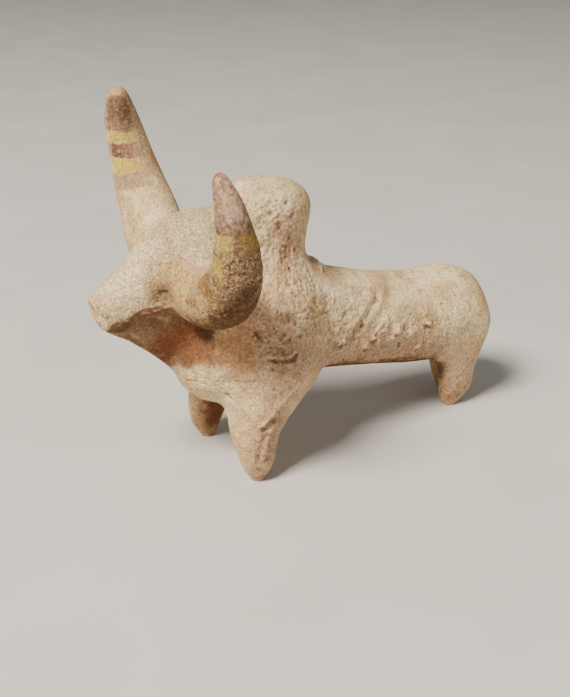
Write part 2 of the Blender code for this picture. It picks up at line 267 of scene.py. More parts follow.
# Dirt, also laid as painted shade between the crumbs and in the hollows.
DIRT_AND_SHADE = srgb(84, 54, 34)
PURPLE_DIRT = srgb(110, 78, 62)
SALT_WHITE = srgb(240, 234, 220)
TABLE_PALE = srgb(205, 203, 199)
TABLE_DULL = srgb(198, 196, 192)


def place(left, back, up):
    """A spot from shares of half the width, half the length and the height of the solid's box."""
    return np.array([left * CAD_HIGH.x, back * CAD_HIGH.y, up * CAD_HIGH.z])


def evaluated(thing):
    """Replaces the object's mesh by what its modifiers make of it, and drops them."""
    bpy.context.view_layer.update()
    graph = bpy.context.evaluated_depsgraph_get()
    mesh = bpy.data.meshes.new_from_object(thing.evaluated_get(graph))
    thing.modifiers.clear()
    thing.data = mesh
    return thing


def skin_of(node):
    """A finer copy of a solid: its facets rounded, its soles kept flat, on an even grid."""
    mesh = node.data.copy()
    work = bmesh.new()
    work.from_mesh(mesh)
    bmesh.ops.remove_doubles(work, verts=work.verts, dist=SAME_SPOT)
    crease = work.edges.layers.float.new("crease_edge")
    for edge in work.edges:
        if all(abs(vert.co.z) < ON_GROUND for vert in edge.verts):
            edge[crease] = SOLE_CREASE
    work.to_mesh(mesh)
    work.free()
    skin = bpy.data.objects.new("bull_clay", mesh)
    bpy.context.scene.collection.objects.link(skin)
    rounding = skin.modifiers.new("round_facets", "SUBSURF")
    rounding.levels = rounding.render_levels = ROUNDINGS
    grid = skin.modifiers.new("even_grid", "REMESH")
    grid.mode = "VOXEL"
    grid.voxel_size = SKIN_GRID
    return evaluated(skin)


def spare(thing, facets):
    """Brings the facets down to a number, and keeps them where the relief needs them."""
    thing.data.calc_loop_triangles()
    cut = thing.modifiers.new("spare_facets", "DECIMATE")
    cut.ratio = facets / len(thing.data.loop_triangles)
    cut.use_collapse_triangulate = True
    return evaluated(thing)


class Clay:
    """The points of the skin, which the marks push in and out along its normals."""

    def __init__(self, thing):
        self.mesh = thing.data
        self.points = np.empty(len(self.mesh.vertices) * 3)
        self.mesh.vertices.foreach_get("co", self.points)
        self.points = self.points.reshape(-1, 3)
        edges = np.empty(len(self.mesh.edges) * 2, np.int64)
        self.mesh.edges.foreach_get("vertices", edges)
        self.edges = edges.reshape(-1, 2)
        self.share = np.bincount(self.edges.ravel(), minlength=len(self.points))[:, None]

    def settle(self):
        """Writes the points back, with the soles flat on the ground, and finds the normals anew."""
        self.points[self.points[:, 2] < SOLE_DEPTH, 2] = 0.0
        self.mesh.vertices.foreach_set("co", self.points.ravel())
        self.mesh.update()
        outward = np.empty(len(self.points) * 3)
        self.mesh.vertex_normals.foreach_get("vector", outward)
        self.outward = outward.reshape(-1, 3)

    def mean_of_neighbours(self, values):
        total = np.zeros_like(values)
        first, second = self.edges[:, 0], self.edges[:, 1]
        for column in range(values.shape[1]):
            total[:, column] += np.bincount(first, values[second, column], len(values))
            total[:, column] += np.bincount(second, values[first, column], len(values))
        return total / self.share

    def rub(self, times):
        for _ in range(times):
            self.points += RUB * (self.mean_of_neighbours(self.points) - self.points)
        self.settle()

    def stand(self):
        """Brings every sole down to the ground."""
        for foot, _, _ in FEET:
            away = np.linalg.norm((self.points - place(*foot))[:, :2], axis=1)
            near = (away < FOOT_REACH) & (self.points[:, 2] < FOOT_REACH)
            lift = self.points[near, 2].min()
            self.points[near, 2] -= lift * (1 - (self.points[near, 2] - lift) / FOOT_REACH)
        self.settle()

    def fray(self):
        """A drift for every point, for measuring only, that gives the marks their ragged edges."""
        noise.seed_set(RAGGED_SEED)
        self.drift = np.zeros_like(self.points)
        for reach, size in zip(RAGGED_REACH, RAGGED_SIZE):
            drift = [noise.noise_vector(Vector(point) / size) for point in self.points]
            self.drift += reach * np.array(drift)

    def lay(self, line):
        """The line's spots brought down onto the skin, with more of them in between."""
        spots = [place(*spot) for spot in line]
        laid = [spots[0]]
        for start, end in zip(spots, spots[1:]):
            pieces = int(np.ceil(np.linalg.norm(end - start) / SPOT_GAP))
            laid += [start + (end - start) * (i + 1) / pieces for i in range(pieces)]
        return [self.points[np.argmin(((self.points - spot) ** 2).sum(1))] for spot in laid]

    def away(self, spots, within, ragged=0.0):
        """How far each point is from a line of spots, and in which direction, as far as it matters."""
        low, high = np.min(spots, 0) - within, np.max(spots, 0) + within
        near = np.flatnonzero(((self.points > low) & (self.points < high)).all(1))
        points = self.points[near]
        if ragged:
            points = points + ragged * self.drift[near]
        nearest = np.full(len(near), np.inf)
        offset = np.zeros_like(points)
        for start, end in zip(spots, spots[1:] or spots):
            run = end - start
            share = np.clip((points - start) @ run / max(run @ run, 1e-12), 0, 1)
            way = points - start - share[:, None] * run
            reach = np.linalg.norm(way, axis=1)
            closer = reach < nearest
            nearest[closer] = reach[closer]
            offset[closer] = way[closer]
        return near, nearest, offset

    def push(self, amount, near=slice(None)):
        """Moves the skin out by an amount for each point."""
        self.points[near] += self.outward[near] * amount[:, None]

    def dent(self, line, width, depth):
        """A soft hollow along the line; a negative depth leaves a swelling."""
        near, reach, _ = self.away(self.lay(line), 2 * width, 1.0)
        self.push(-depth * np.exp(-((2 * reach / width) ** 2)), near)

    def pit(self, line, width, depth, rim=0.22, ragged=0.7):
        """A steep hole with a small raised rim."""
        near, reach, _ = self.away(self.lay(line), 2 * width, ragged)
        reach = 2 * reach / width
        self.push(-depth * np.exp(-(reach**4)) + rim * depth * np.exp(-(((reach - 1.5) / 0.4) ** 2)), near)

    def press_disc(self, spot, facing, radius, dish):
        """Presses the end of the muzzle to a shallow dish with a crisp rim."""
        facing = np.array(facing) / np.linalg.norm(facing)
        way = self.points - place(*spot)
        ahead = way @ facing
        reach = np.linalg.norm(way - ahead[:, None] * facing, axis=1) / radius
        level = -dish * np.clip(1 - reach**2, 0, 1)
        inside = np.clip((1.12 - reach) / 0.12, 0, 1) * (ahead > level - dish)
        self.points -= facing * ((ahead - level) * inside)[:, None]
        rim = np.exp(-(((reach - 1) * radius / RIM_WIDTH) ** 2)) * (np.abs(ahead) < 2 * MM)
        self.push(RIM_HEIGHT * rim)

    def step(self, line, side, width, height):
        """An edge where a flake came off: the skin stands higher on the given side of the line."""
        near, reach, offset = self.away(self.lay(line), width, 1.0)
        across = offset @ (np.array(side) / np.linalg.norm(side))
        rise = 1 / (1 + np.exp(np.clip(-across / STEP_EDGE, -50, 50)))
        self.push(height * rise * np.clip(1 - reach / width, 0, 1), near)

    def taper(self, foot, reach, share):
        """Draws a foot in towards its own middle, the more so the lower down."""
        way = (self.points - place(*foot))[:, :2]
        low = np.clip(1 - self.points[:, 2] / reach, 0, 1) ** 1.3
        low *= np.linalg.norm(way, axis=1) < FOOT_REACH
        self.points[:, :2] -= way * (share * low)[:, None]

    def paint(self, name, values):
        """Stores a value for each point, for the finish to read."""
        stored = self.mesh.attributes.new(name, "FLOAT", "POINT")
        stored.data.foreach_set("value", np.asarray(values, np.float32))

    def patch(self, line, reach):
        """1 on the line of spots, a half at the reach from it and 0 at twice that."""
        near, away, _ = self.away([place(*spot) for spot in line], 2 * reach)
        share = np.zeros(len(self.points))
        share[near] = np.clip(1 - away / (2 * reach), 0, 1)
        return share

    def patches(self, places):
        """Several places as one: each has a strength, a reach in millimetres and a line of spots."""
        return cover(*(strength * self.patch(line, reach * MM) for strength, reach, *line in places.values()))


def cover(*patches):
    """Several patches as one."""
    return np.maximum.reduce(patches)


def beside(line, left=0.0, back=0.0, up=0.0):
    """The same line a little aside, in shares."""
    return [(l + left, b + back, u + up) for l, b, u in line]


def press_head_marks(clay):
    clay.press_disc(MUZZLE_DISC, MUZZLE_FACING, MUZZLE_RADIUS, MUZZLE_DISH)
    clay.dent(MOUTH, 1.3 * MM, 0.5 * MM)
    clay.dent(LIP_CREASE, 0.9 * MM, 0.25 * MM)
    clay.dent(LEFT_EYE, 2.6 * MM, 0.25 * MM)
    clay.pit(LEFT_EYE, 0.9 * MM, 0.38 * MM, rim=0.1, ragged=0.4)
    clay.dent(RIGHT_EYE, 2.8 * MM, 0.4 * MM)
    clay.pit(RIGHT_EYE, 1.0 * MM, 0.4 * MM, rim=0.1, ragged=0.4)
    clay.step(JAW, (0, 0, 1), 2.2 * MM, 0.4 * MM)
    clay.dent(beside(JAW, up=-0.016), 1.5 * MM, 0.3 * MM)


def press_shoulder_marks(clay):
    for i, spot in enumerate(SHOULDER_PITS):
        clay.pit([spot], (0.6 + 0.2 * (i % 3)) * MM, (0.22 + 0.06 * (i % 4)) * MM, rim=0.2, ragged=1.2)
    clay.pit(SHOULDER_HOLE, 0.55 * MM, 0.5 * MM, ragged=0.5)
    clay.dent(beside(SHOULDER_CRACK, up=0.014), 1.3 * MM, -0.35 * MM)
    clay.pit(SHOULDER_CRACK, 0.42 * MM, 0.6 * MM, rim=0.0, ragged=0.35)
    clay.pit(SHOULDER_CRACK[2:], 0.65 * MM, 0.35 * MM, rim=0.0, ragged=0.35)
    clay.pit(ROUND_SCAR, 3.4 * MM, 0.3 * MM, rim=0.35)
    clay.dent(ROUND_SCAR, 1.6 * MM, -0.2 * MM)


def press_leg_marks(clay):
    clay.dent(LEG_RIDGE, 1.7 * MM, -0.65 * MM)
    clay.dent(beside(LEG_RIDGE, back=0.05), 2.2 * MM, 0.45 * MM)
    clay.pit(LEG_DENT, 1.6 * MM, 0.5 * MM, rim=0.1)
    clay.dent(LEG_FURROW, 1.3 * MM, 0.35 * MM)
    clay.step(LEG_FLAKE, (0.5, 0, -1), 2.0 * MM, 0.3 * MM)
    clay.pit(LEG_NICK, 0.9 * MM, 0.35 * MM)
    clay.pit(LEG_CRACK_FRONT, 0.6 * MM, 0.3 * MM, rim=0.1, ragged=0.5)
    clay.pit(LEG_CRACK_BACK, 0.6 * MM, 0.3 * MM, rim=0.1, ragged=0.5)
    clay.step(LEG_CRUST_EDGE, (0, 0, -1), 3.0 * MM, 0.25 * MM)
    clay.dent(HIND_CHAMFER, 2.2 * MM, 0.25 * MM)


def press_body_marks(clay):
    clay.step(BACK_CHIP, (0, -1, 0.5), 3.0 * MM, 0.9 * MM)
    clay.step(BACK_STEP, (0, 1, 0), 2.4 * MM, 0.35 * MM)
    clay.pit(FLANK_PIT, 1.1 * MM, 0.45 * MM)
    clay.dent(FLANK_GROOVE, 1.9 * MM, 0.45 * MM)
    clay.dent(beside(FLANK_GROOVE, back=0.045), 2.0 * MM, -0.2 * MM)
    clay.dent(FLANK_LIP, 1.8 * MM, -0.4 * MM)
    for i, spot in enumerate(FLANK_LUMPS):
        clay.dent([spot], (1.5 + 0.5 * (i % 3)) * MM, -(0.5 + 0.15 * (i % 4)) * MM)
    for i, spot in enumerate(FLANK_PITS):
        clay.pit([spot], (1.1 + 0.4 * (i % 2)) * MM, (0.4 + 0.1 * (i % 3)) * MM, rim=0.15)
    for i, spot in enumerate(HUMP_PITS):
        clay.pit([spot], (0.7 + 0.2 * (i % 3)) * MM, (0.28 + 0.08 * (i % 3)) * MM, rim=0.1)
    clay.dent(HUMP_SCAR, 2.6 * MM, 0.2 * MM)


# What the ground left of the crust: how coarse, how woolly and how bare each place is, its reach in
# millimetres and the line of its spots.
LOW_FLANK = ((0.29, 0.0, 0.28), (0.26, 0.35, 0.25), (0.24, 0.6, 0.21))
SMOOTH_BACK = ((0.05, -0.02, 0.55), (0.12, 0.03, 0.51), (0.1, 0.09, 0.5))
SMOOTH_BACK_REACH = 3.6
HEAD = ((0.0, -0.6, 0.67), (0.05, -0.8, 0.57), (0.0, -0.93, 0.5))
CRUST = {
    "shoulder": (1.0, 0.0, 0.5, 8.5, (0.42, -0.3, 0.44), (0.35, -0.17, 0.52), (0.31, -0.02, 0.43)),
    "shoulder's scars": (0.0, 0.0, 0.8, 4.5, (0.48, -0.3, 0.35), (0.43, -0.31, 0.43)),
    "neck": (0.8, 0.0, 0.5, 5.5, (0.22, -0.2, 0.6), (0.17, -0.25, 0.72), (0.36, -0.34, 0.5)),
    "hump's scar": (0.0, 0.0, 0.9, 2.2, *HUMP_SCAR),
    "flank": (0.9, 0.0, 0.4, 5.0, (0.3, 0.05, 0.37), (0.28, 0.3, 0.31), (0.27, 0.54, 0.3)),
    "low flank": (0.7, 0.0, 0.6, 4.0, *LOW_FLANK),
    "right side": (0.75, 0.0, 0.5, 6.5, (-0.4, -0.28, 0.42), (-0.33, 0.05, 0.4), (-0.28, 0.45, 0.32)),
    "back": (0.6, 0.0, 0.4, 4.0, (0.1, 0.25, 0.46), (0.2, 0.1, 0.46)),
    "rump": (0.2, 0.5, 0.0, 9.0, (0.1, 0.7, 0.36), (-0.05, 0.85, 0.34)),
    "legs": (0.6, 0.0, 0.6, 4.5, (0.46, -0.35, 0.22), (0.45, -0.4, 0.0), (0.2, 0.8, 0.06)),
    "chest": (0.45, 0.0, 0.0, 4.5, (0.3, -0.5, 0.36), (0.2, -0.56, 0.29), (0.35, -0.46, 0.22)),
    "head": (0.15, 1.3, 0.0, 9.5, *HEAD),
    "left horn's foot": (0.95, 0.8, 0.0, 5.5, (0.84, -0.66, 0.7), (0.88, -0.62, 0.62), (0.7, -0.66, 0.55)),
}


def store_crust(clay):
    """How coarse and woolly the crust is above the soles, and where it has come off."""
    coarse = woolly = bare = np.zeros(len(clay.points))
    for how_coarse, how_woolly, how_bare, reach, *line in CRUST.values():
        patch = clay.patch(line, reach * MM)
        coarse = cover(coarse, how_coarse * patch)
        woolly = cover(woolly, how_woolly * patch)
        bare = cover(bare, how_bare * patch)
    smooth = 1 - 0.85 * np.clip(1.6 * clay.patch(SMOOTH_BACK, SMOOTH_BACK_REACH * MM), 0, 1)
    grounded = np.clip(clay.points[:, 2] / MM, 0, 1)
    clay.paint("coarse", np.clip(0.08 + 1.25 * coarse, 0, 1) * smooth * grounded)
    clay.paint("woolly", np.clip(woolly, 0, 1) * grounded)
    clay.paint("bare", bare)


class Field:
    """A node's output. A sum of fields and numbers adds the nodes that work it out."""

    def __init__(self, sums, socket):
        self.sums = sums
        self.socket = socket

    def __add__(self, other):
        return self.sums.maths("ADD", self, other)

    def __sub__(self, other):
        return self.sums.maths("SUBTRACT", self, other)

    def __rsub__(self, other):
        return self.sums.maths("SUBTRACT", other, self)

    def __mul__(self, other):
        return self.sums.maths("MULTIPLY", self, other)

    def __truediv__(self, other):
        return self.sums.maths("DIVIDE", self, other)

    def __rtruediv__(self, other):
        return self.sums.maths("DIVIDE", other, self)

    def __abs__(self):
        return self.sums.maths("ABSOLUTE", self, 0.0)


class Sums:
    """A node tree that is written as sums of fields."""

    def __init__(self, tree):
        self.tree = tree

    def node(self, kind, inputs=(), **settings):
        """A new node with its settings; an input is a value, a field or a node's output."""
        node = self.tree.nodes.new(kind)
        for name, value in settings.items():
            setattr(node, name, value)
        for name, value in dict(inputs).items():
            value = value.socket if isinstance(value, Field) else value
            if isinstance(value, bpy.types.NodeSocket):
                self.tree.links.new(value, node.inputs[name])
            else:
                node.inputs[name].default_value = value
        return node

    def field(self, kind, inputs=(), output=0, **settings):
        return Field(self, self.node(kind, inputs, **settings).outputs[output])

    def maths(self, operation, first, second):
        return self.field("ShaderNodeMath", {0: first, 1: second}, operation=operation)


def most(first, second):
    """The larger of two fields at each point."""
    return first.sums.maths("MAXIMUM", first, second)


def between(value, low, high, start=0.0, end=1.0):
    """Start below low and end above high, with a soft change between them."""
    inputs = {"Value": value, "From Min": low, "From Max": high, "To Min": start, "To Max": end}
    return value.sums.field("ShaderNodeMapRange", inputs, interpolation_type="SMOOTHSTEP")


class Weathering(Sums):
    """What the ground did to the clay, as fields over the skin that push it in and out."""

    def stored(self, name):
        return self.field("GeometryNodeInputNamedAttribute", {"Name": name}, data_type="FLOAT")

    def vectors(self, operation, inputs, output=0):
        return self.field("ShaderNodeVectorMath", inputs, output, operation=operation)

    def strayed(self, scale, reach):
        """The place of each point, pushed about by a noise."""
        drift = self.field("ShaderNodeTexNoise", {"Scale": scale, "Detail": 1.0}, "Color")
        drift = self.vectors("SUBTRACT", {0: drift, 1: (0.5, 0.5, 0.5)})
        drift = self.vectors("SCALE", {0: drift, "Scale": reach})
        return self.vectors("ADD", {0: self.field("GeometryNodeInputPosition"), 1: drift})

    def noise_field(self, size, detail, roughness):
        """A slow noise over the skin, from -0.5 to 0.5, with its size from a socket."""
        inputs = {"Scale": 1.0 / size, "Detail": detail, "Roughness": roughness}
        return self.field("ShaderNodeTexNoise", inputs) - 0.5

    def grit_field(self, size):
        """Rounded grains with narrow gaps between them, from about -0.5 to 0.5."""
        scale = 1.0 / size
        inputs = {"Vector": self.strayed(scale, size), "Scale": scale}
        inputs |= {"Detail": 1.0, "Roughness": 0.6, "Smoothness": 0.25}
        return 0.5 - self.field("ShaderNodeTexVoronoi", inputs, "Distance", feature="SMOOTH_F1")

    def scattered_spots(self, skin, spacing, width, depth, seed, strength):
        """Round hollows that lie about on the skin, as a depth and a share of it for every point."""
        inputs = {"Mesh": skin, "Distance Min": spacing, "Density Max": 1e6}
        inputs |= {"Density Factor": strength, "Seed": seed}
        scatter = "GeometryNodeDistributePointsOnFaces"
        spots = self.field(scatter, inputs, "Points", distribute_method="POISSON")
        here = self.strayed(1 / (0.9 * MM), 1.2 * MM)
        nearest = self.field("GeometryNodeSampleNearest", {"Geometry": spots, "Sample Position": here})
        inputs = {"Geometry": spots, "Value": self.field("GeometryNodeInputPosition"), "Index": nearest}
        centre = self.field("GeometryNodeSampleIndex", inputs, data_type="FLOAT_VECTOR")
        size = self.field("FunctionNodeRandomValue", {2: 0.35, 3: 1.0, 8: seed}, 1, data_type="FLOAT")
        inputs = {"Geometry": spots, "Value": size, "Index": nearest}
        size = self.field("GeometryNodeSampleIndex", inputs)
        away = self.vectors("DISTANCE", {0: here, 1: centre}, "Value")
        share = between(away / (width * size), 0.5, 0.15)
        return depth * size * share, share


def weathering_tree():
    """Lost crust, pits, crumbs of grit and grain that follow the skin, coarser where the crust is."""
    tree = bpy.data.node_groups.new("weathered_clay", "GeometryNodeTree")
    sockets = {"Skin": "Geometry", "Finish": "Material", "Seed": "Int"} | dict.fromkeys(WEATHER, "Float")
    for name, kind in sockets.items():
        tree.interface.new_socket(name, in_out="INPUT", socket_type=f"NodeSocket{kind}")
    tree.interface.new_socket("Skin", in_out="OUTPUT", socket_type="NodeSocketGeometry")
    ground = Weathering(tree)
    inputs = ground.node("NodeGroupInput").outputs
    given = {name: Field(ground, inputs[name]) for name in sockets}

    def hollows(kind, seed, strength):
        sizes = (given[f"{kind} Spacing"], given[f"{kind} Width"], given[f"{kind} Depth"])
        return ground.scattered_spots(given["Skin"], *sizes, seed, strength)

    coarse = ground.stored("coarse")
    some = ground.field("ShaderNodeMath", {0: coarse, 1: 0.75, 2: 0.25}, operation="MULTIPLY_ADD")
    some = most(some, ground.stored("woolly"))
    worn = ground.noise_field(given["Crust Size"], 5.0, 0.62) + ground.stored("bare") * 0.3
    lost = between(worn, 0.15, 0.25)
    rise = lost * some * (given["Crust Thickness"] * -1.0)
    clumps = {"Value": ground.noise_field(given["Clump Size"], 2.0, 0.5), "From Min": -0.15, "From Max": 0.15}
    clumps = ground.field("ShaderNodeMapRange", {**clumps, "To Min": 0.25, "To Max": 1.1})
    fields = (
        ("Lump", coarse, ground.noise_field(given["Lump Size"], 3.0, 0.6)),
        ("Crumb", coarse * clumps, ground.grit_field(given["Crumb Size"])),
        ("Grain", some, ground.noise_field(given["Grain Size"], 3.0, 0.65)),
    )
    for kind, strength, field in fields:
        rise += field * (given[f"{kind} Height"] * strength)
    pits, pit_share = hollows("Pit", given["Seed"], coarse)
    holes, hole_share = hollows("Pinhole", given["Seed"] + 7.0, 0.15)
    rise = rise - pits - holes * some
    skin = given["Skin"]
    for name, value in (("pit", pit_share), ("pinhole", hole_share), ("lost", lost)):
        inputs = {"Geometry": skin, "Name": name, "Value": value}
        skin = ground.field("GeometryNodeStoreNamedAttribute", inputs, data_type="FLOAT", domain="POINT")
    shift = ground.vectors("SCALE", {0: ground.field("GeometryNodeInputNormal"), "Scale": rise})
    skin = ground.field("GeometryNodeSetPosition", {"Geometry": skin, "Offset": shift})
    skin = ground.field("GeometryNodeRealizeInstances", {"Geometry": skin})
    skin = ground.field("GeometryNodeSetMaterial", {"Geometry": skin, "Material": given["Finish"]})
    ground.node("NodeGroupOutput", {"Skin": skin})
    return tree


def weather(thing, finish):
    """Lets the ground work on the clay, and leaves a plain mesh."""
    tree = weathering_tree()
    wanted = {"Finish": finish, "Seed": WEATHER_SEED, **WEATHER}
    modifier = thing.modifiers.new("weathering", "NODES")
    modifier.node_group = tree
    for item in tree.interface.items_tree:
        if item.in_out == "INPUT" and item.name in wanted:
            modifier[item.identifier] = wanted[item.name]
    return evaluated(thing)


# Lines of spots that colours follow. Those of the chin and the throat go on to the right of the throat's
# middle. The brown and orange under the chin and the throat are painted shade on the clay's own colour.
CHIN = ((0.01, -0.83, 0.465), (0.03, -0.76, 0.44), (0.04, -0.71, 0.405), (0.1, -0.66, 0.45))
THROAT = ((0.05, -0.68, 0.39), (0.08, -0.64, 0.36), (0.12, -0.61, 0.42), (0.18, -0.59, 0.375))
THROAT_MIDDLE = -0.13
DEWLAP_EDGE = ((-0.017, -0.9, 0.449), (-0.018, -0.84, 0.419), (-0.015, -0.769, 0.382), (-0.024, -0.7, 0.337))
DEWLAP_SIDE = ((0.107, -0.639, 0.458), (0.02, -0.79, 0.42), (0.02, -0.72, 0.375), (0.08, -0.66, 0.42))
UPPER_JAW = ((0.04, -0.84, 0.49), (0.09, -0.78, 0.5), (0.12, -0.74, 0.496), (0.13, -0.7, 0.48))
CHEST = ((0.2, -0.57, 0.4), (0.3, -0.51, 0.39), (0.33, -0.48, 0.42), (0.33, -0.47, 0.36))
NOSE = ((-0.04, -0.92, 0.56), (0.0, -0.88, 0.575), (0.03, -0.83, 0.595), (0.05, -0.76, 0.62))
CHEEK = (
    (0.15, -0.745, 0.595),
    (0.2, -0.72, 0.59),
    (0.38, -0.7, 0.59),
    (0.52, -0.7, 0.54),
    (0.68, -0.69, 0.57),
)
# Along the jowl, under the left horn's root, the cheek's tan is painted shade as well.
JOWL = ((0.25, -0.709, 0.517), (0.4, -0.7, 0.51), (0.6, -0.66, 0.505), (0.76, -0.6, 0.53))
# Under the left horn and behind the jowl, the dark staining is painted shade as well.
UNDER_HORN = ((0.9, -0.6, 0.62), (0.84, -0.63, 0.585), (0.74, -0.64, 0.55), (0.62, -0.66, 0.525))
BEHIND_JOWL = ((0.42, -0.67, 0.498), (0.56, -0.64, 0.498), (0.68, -0.59, 0.522), (0.8, -0.56, 0.57))

# The jaw's edge, where the brown painted shade under it ends: its height at each share to the back.
JAW_SHADE_BACK = (-0.945, -0.935, -0.906, -0.861, -0.837, -0.816, -0.758, -0.705)
JAW_SHADE_UP = (0.455, 0.476, 0.482, 0.493, 0.508, 0.516, 0.517, 0.505)
JAW_SHADE_SOFT = 0.5 * MM


def across(line):
    """The same line on the other side of the throat."""
    return [(2 * THROAT_MIDDLE - left, back, up) for left, back, up in line]


# Where the colours lie: each place's strength, its reach in millimetres and the line of its spots.
BELLY = ((0.05, 0.0, 0.22), (0.05, 0.3, 0.2), (0.05, 0.6, 0.17))
BELLY_REACH = 5.5
MUZZLE = (2.6, MUZZLE_DISC, (-0.07, -0.992, 0.515))
# Painted shade under the jaw, the chin, the lip and the dewlap: brown over the clay's own brown, cut off at
# the jaw's edge.
UNDER_JAW_SHADE = {
    "chin": (1.0, 3.8, *CHIN),
    "right of the chin": (0.85, 3.4, *across(CHIN)),
    "chin's front": (0.95, 2.6, (-0.03, -0.93, 0.445), (-0.01, -0.87, 0.452)),
    "lip": (0.95, 2.0, (-0.01, -0.925, 0.468), (0.01, -0.88, 0.475), (0.04, -0.84, 0.49)),
    "dewlap's edge": (0.75, 3.4, *DEWLAP_EDGE),
    "dewlap's side": (0.85, 3.0, *DEWLAP_SIDE),
    "jaw": (1.0, 2.8, *UPPER_JAW),
}
PAINT = {
    # Brown: painted shade at the jaw's corner and inside the right front leg, and brown on the muzzle.
    "brown": {
        "jaw's corner": (0.9, 1.8, (0.12, -0.728, 0.507), (0.17, -0.71, 0.502), (0.21, -0.7, 0.492)),
        "inside of the right front leg": (0.85, 2.6, (-0.26, -0.4, 0.13), (-0.3, -0.39, 0.06)),
        "muzzle": (0.45, *MUZZLE),
    },
    # Orange: painted shade on the clay's own orange, under the throat, inside the hind leg and on the right
    # front leg.
    "orange": {
        "throat": (1.0, 3.6, *THROAT),
        "right of the throat": (0.8, 3.4, *across(THROAT)),
        "inside of the hind leg": (1.0, 2.6, (0.06, 0.73, 0.13), (-0.05, 0.74, 0.1)),
        "right front leg": (0.95, 4.8, (-0.28, -0.4, 0.12), (-0.33, -0.38, 0.02)),
    },
    # Tan: the chest's, the hind foot's and the muzzle's own tan, and painted shade on the throat and the
    # belly.
    "tan": {
        "throat": (0.9, 3.6, *THROAT),
        "right of the throat": (0.72, 3.4, *across(THROAT)),
        "chest": (1.0, 4.0, *CHEST),
        "hind foot": (0.7, 2.8, (0.086, 0.736, 0.071), (0.14, 0.745, 0.044), (0.167, 0.765, 0.028)),
        "muzzle": (0.95, *MUZZLE),
    },
    "dirt": {
        "shoulder": (1.0, 1.1, (0.395, -0.3, 0.468), (0.415, -0.275, 0.466), (0.425, -0.24, 0.455)),
        "shoulder's hole": (1.0, 0.9, *SHOULDER_HOLE),
        "shoulder's crack": (0.8, 0.7, *SHOULDER_CRACK),
        "flank": (1.0, 1.0, (0.312, 0.019, 0.327), (0.303, 0.054, 0.324)),
    },
    "dusty": {
        "back": (1.0, 1.6, (0.16, 0.3, 0.445), (0.173, 0.34, 0.434), (0.19, 0.29, 0.43)),
        "smooth back": (0.8, SMOOTH_BACK_REACH, *SMOOTH_BACK),
    },
    # Pale: a painted highlight on the nose and on the front of the flank.
    "pale": {
        "nose": (1.0, 3.6, *NOSE),
        "front of the flank": (0.8, 2.8, (0.243, -0.03, 0.5), (0.25, 0.06, 0.462)),
    },
    "pink": {
        "shoulder": (0.9, 7.0, (0.42, -0.33, 0.43), (0.47, -0.29, 0.38), (0.51, -0.29, 0.3)),
        "low flank": (1.0, 5.0, *LOW_FLANK),
        "high flank": (0.3, 4.0, (0.27, 0.03, 0.456), (0.2, 0.14, 0.46)),
        "left front leg": (0.8, 4.5, (0.49, -0.33, 0.22), (0.47, -0.38, 0.1), (0.45, -0.4, 0.0)),
        "hind legs": (0.9, 7.0, (0.2, 0.78, 0.12), (0.18, 0.78, 0.0), (-0.15, 0.9, 0.0)),
        "right side": (0.8, 7.0, (-0.45, -0.28, 0.38), (-0.26, 0.2, 0.28), (-0.24, 0.6, 0.22)),
        "hump's scar": (1.0, 2.6, *HUMP_SCAR),
    },
    "grey": {
        "crown": (1.0, 5.0, (0.04, -0.65, 0.71), (0.14, -0.57, 0.7), (0.05, -0.72, 0.67)),
        "hump's top": (0.8, 6.0, (0.05, -0.25, 0.79), (-0.05, -0.2, 0.79)),
    },
    "crust": {
        "head": (1.0, 9.5, *HEAD),
        "left horn's root": (1.0, 5.5, (0.5, -0.66, 0.6), (0.85, -0.64, 0.66)),
    },
    "cheek": {
        "cheek": (1.0, 4.2, *CHEEK),
        # Painted shade under the left horn's root, in the cheek's tan.
        "jowl": (1.0, 3.6, *JOWL),
        "under the jowl": (1.0, 2.2, (0.21, -0.66, 0.485), (0.3, -0.62, 0.47)),
        "right horn's root": (0.7, 1.5, (-0.66, -0.667, 0.69), (-0.59, -0.675, 0.662), (-0.5, -0.686, 0.64)),
    },
    "yellow": {
        "brow": (1.0, 1.5, (0.175, -0.72, 0.614), (0.2, -0.7, 0.612)),
        "cheek": (1.0, 1.6, (0.26, -0.718, 0.562), (0.36, -0.711, 0.578), (0.37, -0.7, 0.6)),
        "left horn's foot": (1.0, 1.8, (0.76, -0.71, 0.688), (0.83, -0.712, 0.694), (0.83, -0.709, 0.672)),
    },
    "ochre": {
        "left horn's root": (1.0, 1.9, (0.57, -0.7, 0.625), (0.65, -0.703, 0.64), (0.67, -0.705, 0.62)),
        "cheek": (0.75, 1.2, (0.42, -0.717, 0.56), (0.52, -0.712, 0.568)),
    },
    "eye": {
        "left": (1.0, 1.9, (0.13, -0.75, 0.54), (0.14, -0.765, 0.558), LEFT_EYE[1]),
        "right": (0.9, 1.4, *RIGHT_EYE),
    },
    # Dark staining and painted shade: under the left horn, on the neck below it and behind the jowl.
    "stain_and_shade": {
        "left horn": (1.0, 2.6, *UNDER_HORN),
        "neck": (1.0, 2.2, (0.178, -0.58, 0.43), (0.2, -0.565, 0.435)),
        "jowl": (1.0, 3.0, *BEHIND_JOWL),
    },
    "salt": {
        "flank": (1.0, 0.5, (0.246, 0.13, 0.441)),
        "rump": (1.0, 0.3, (0.19, 0.55, 0.395)),
    },
}
PIT_STAIN = 0.45 * MM
HUMP_PIT_STAIN = 0.5 * MM
PAINTED_SIDE = np.array((-0.515, -0.857, 0.0))


